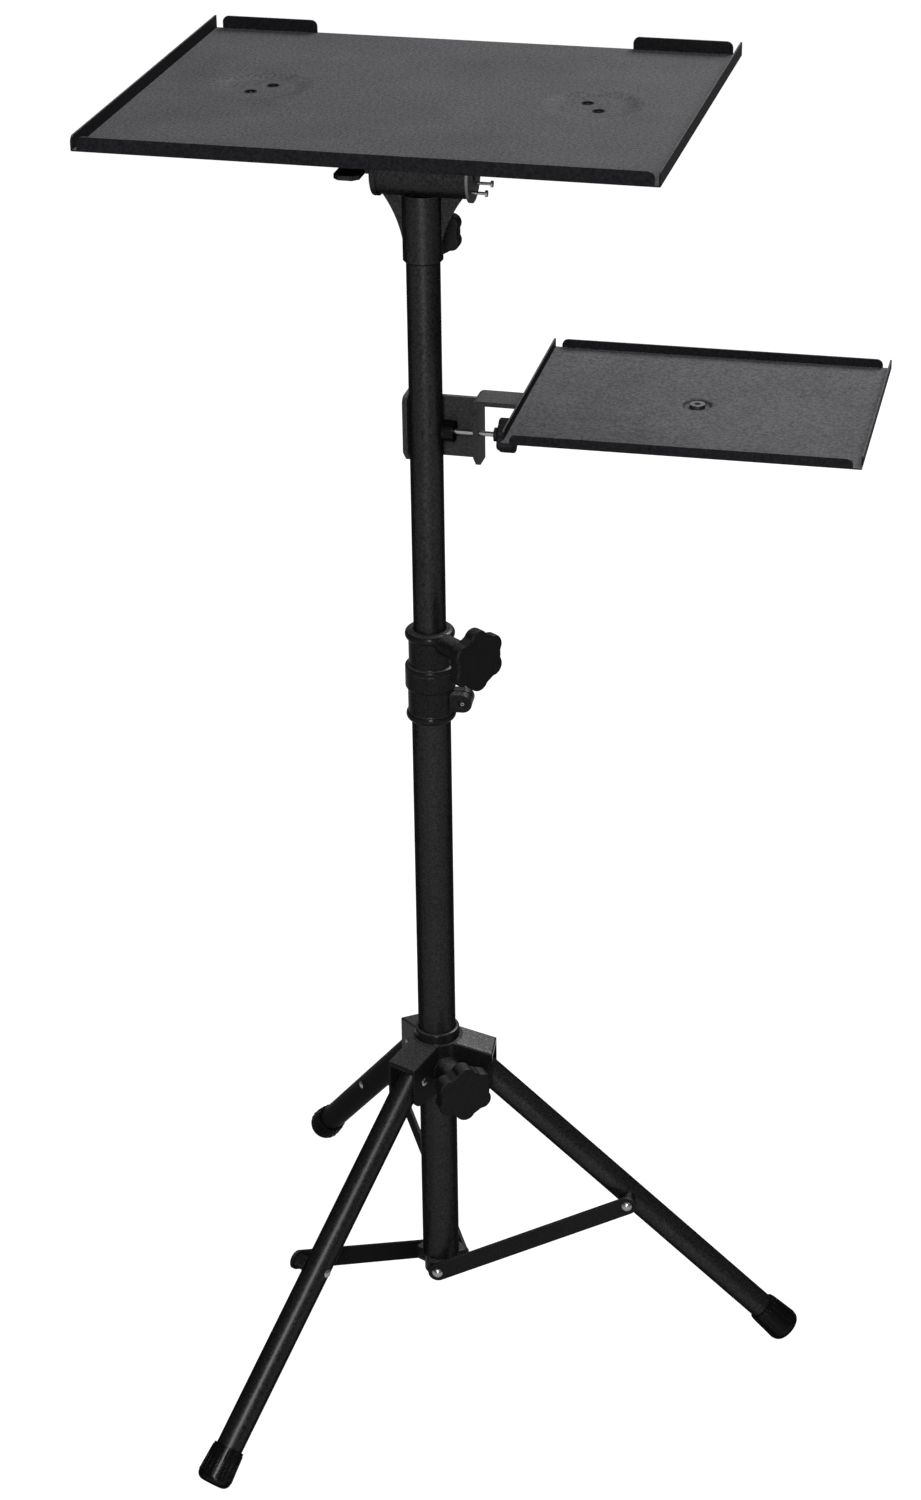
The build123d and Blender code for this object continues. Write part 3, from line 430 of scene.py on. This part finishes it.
# floor: bright to the camera and in reflections, with the shadow kept; moderate as a bounce
floorLook = {"radius": 14.0, "segments": 96, "glow": 0.97, "shade": 0.14, "bounce": 0.4}
floorMesh = bpy.data.meshes.new("floor")
floorBuild = bmesh.new()
bmesh.ops.create_circle(floorBuild, cap_ends=True, segments=floorLook["segments"],
                        radius=floorLook["radius"])
floorBuild.to_mesh(floorMesh)
floorBuild.free()
floor = bpy.data.objects.new("floor", floorMesh)
scene.collection.objects.link(floor)
floorMaterial, floorTree = newMaterial("paleFloor")
floorTree.nodes.remove(floorTree.nodes["Principled BSDF"])
floorPath = addNode(floorTree, "ShaderNodeLightPath")
floorSeen = mathNode(floorTree, "MAXIMUM", floorPath.outputs["Is Camera Ray"],
                     floorPath.outputs["Is Glossy Ray"])
floorSeen = mathNode(floorTree, "MAXIMUM", floorSeen, floorPath.outputs["Is Transmission Ray"])
floorGlow = addNode(floorTree, "ShaderNodeEmission")
floorGlow.inputs["Strength"].default_value = floorLook["glow"]
floorShade = addNode(floorTree, "ShaderNodeBsdfDiffuse")
floorShade.inputs["Color"].default_value = grey(floorLook["shade"])
floorBounce = addNode(floorTree, "ShaderNodeBsdfDiffuse")
floorBounce.inputs["Color"].default_value = grey(floorLook["bounce"])
floorSum = addNode(floorTree, "ShaderNodeAddShader")
floorMix = addNode(floorTree, "ShaderNodeMixShader")
floorTree.links.new(floorGlow.outputs[0], floorSum.inputs[0])
floorTree.links.new(floorShade.outputs[0], floorSum.inputs[1])
floorTree.links.new(floorSeen, floorMix.inputs[0])
floorTree.links.new(floorBounce.outputs[0], floorMix.inputs[1])
floorTree.links.new(floorSum.outputs[0], floorMix.inputs[2])
floorTree.links.new(floorMix.outputs[0], floorTree.nodes["Material Output"].inputs["Surface"])
floorMesh.materials.append(floorMaterial)

roomLook = {"brightness": 1.0, "strength": 0.2}
world = bpy.data.worlds.new("studio")
scene.world = world
world.use_nodes = True
room = world.node_tree.nodes["Background"]
room.inputs["Color"].default_value = grey(roomLook["brightness"])
room.inputs["Strength"].default_value = roomLook["strength"]

softboxes = {
    "overhead": {"place": (0.8, 2.0, 2.7), "target": (0.1, 0.0, 0.9),
                 "size": (2.0, 1.4), "watts": 121.0},
    "key": {"place": (0.5, -2.7, 2.15), "target": (0.0, 0.0, 0.6),
            "size": (0.45, 0.9), "watts": 105.0},
    "strip": {"place": (0.55, -2.9, 0.9), "target": (0.0, 0.0, 0.7),
              "size": (0.3, 1.0), "watts": 32.0},
    "rightFill": {"place": (1.9, -0.5, 2.2), "target": (0.2, 0.0, 0.9),
                  "size": (0.6, 1.2), "watts": 4.0},
}
for name, look in softboxes.items():
    lamp = bpy.data.lights.new(name, "AREA")
    lamp.shape = "RECTANGLE"
    lamp.size, lamp.size_y = look["size"]
    lamp.energy = look["watts"]
    holder = bpy.data.objects.new(name, lamp)
    aim = (Vector(look["target"]) - Vector(look["place"])).to_track_quat("-Z", "Y")
    holder.matrix_world = Matrix.Translation(look["place"]) @ aim.to_matrix().to_4x4()
    scene.collection.objects.link(holder)

cameraLook = {"lens": 77.838, "sensor": 36.0, "azimuth": 14.07, "elevation": 27.29, "roll": -0.78,
              "place": (0.65416, -2.50502, 1.95653)}
cameraData = bpy.data.cameras.new("camera")
cameraData.lens = cameraLook["lens"]
cameraData.sensor_width = cameraLook["sensor"]
azimuth, elevation, roll = (math.radians(cameraLook[key])
                            for key in ("azimuth", "elevation", "roll"))
back = Vector((math.sin(azimuth) * math.cos(elevation),
               -math.cos(azimuth) * math.cos(elevation), math.sin(elevation)))
level = Vector((math.cos(azimuth), math.sin(azimuth), 0.0))
upward = back.cross(level)
right = level * math.cos(roll) + upward * math.sin(roll)
up = upward * math.cos(roll) - level * math.sin(roll)
camera = bpy.data.objects.new("camera", cameraData)
cameraTurn = Matrix((right, up, back)).transposed().to_4x4()
camera.matrix_world = Matrix.Translation(cameraLook["place"]) @ cameraTurn
scene.collection.objects.link(camera)
scene.camera = camera
scene.view_settings.view_transform = "Standard"
print("stage 4: stage, lights and camera placed")

bpy.context.view_layer.update()
